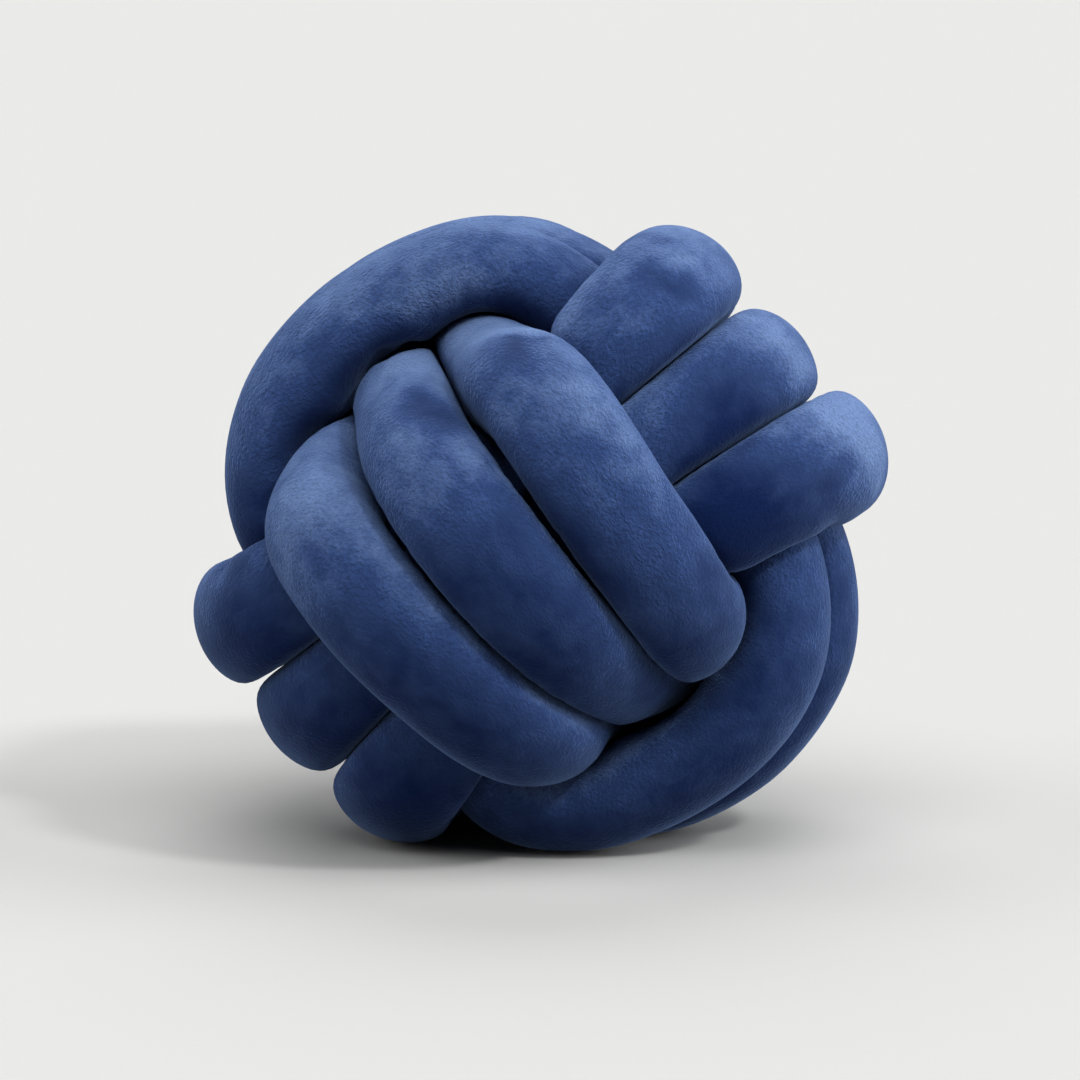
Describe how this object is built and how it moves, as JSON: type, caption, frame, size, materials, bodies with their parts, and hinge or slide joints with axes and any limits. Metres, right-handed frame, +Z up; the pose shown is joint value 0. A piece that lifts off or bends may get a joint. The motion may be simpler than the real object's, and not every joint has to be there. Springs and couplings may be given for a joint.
{
  "type": "knot cushion",
  "caption": "Ball-shaped cushion made of one long stuffed plush tube wound into crossing bands, to rest on a sofa, bed or floor.",
  "frame": {"origin": "centre of the ball's bounding box, on the surface that the ball rests on", "axes": "+Z up; -Y towards the viewer of the picture, so that the face with the three long turns looks along -Y; +X to the viewer's right"},
  "size_m": [0.2958, 0.2878, 0.2654],
  "materials": {
    "plush": "short dense blue pile, matt, with a soft sheen at its edges and darker brushed patches"
  },
  "bodies": {
    "root": {"knot_tube": "plush"}
  },
  "joints": []
}
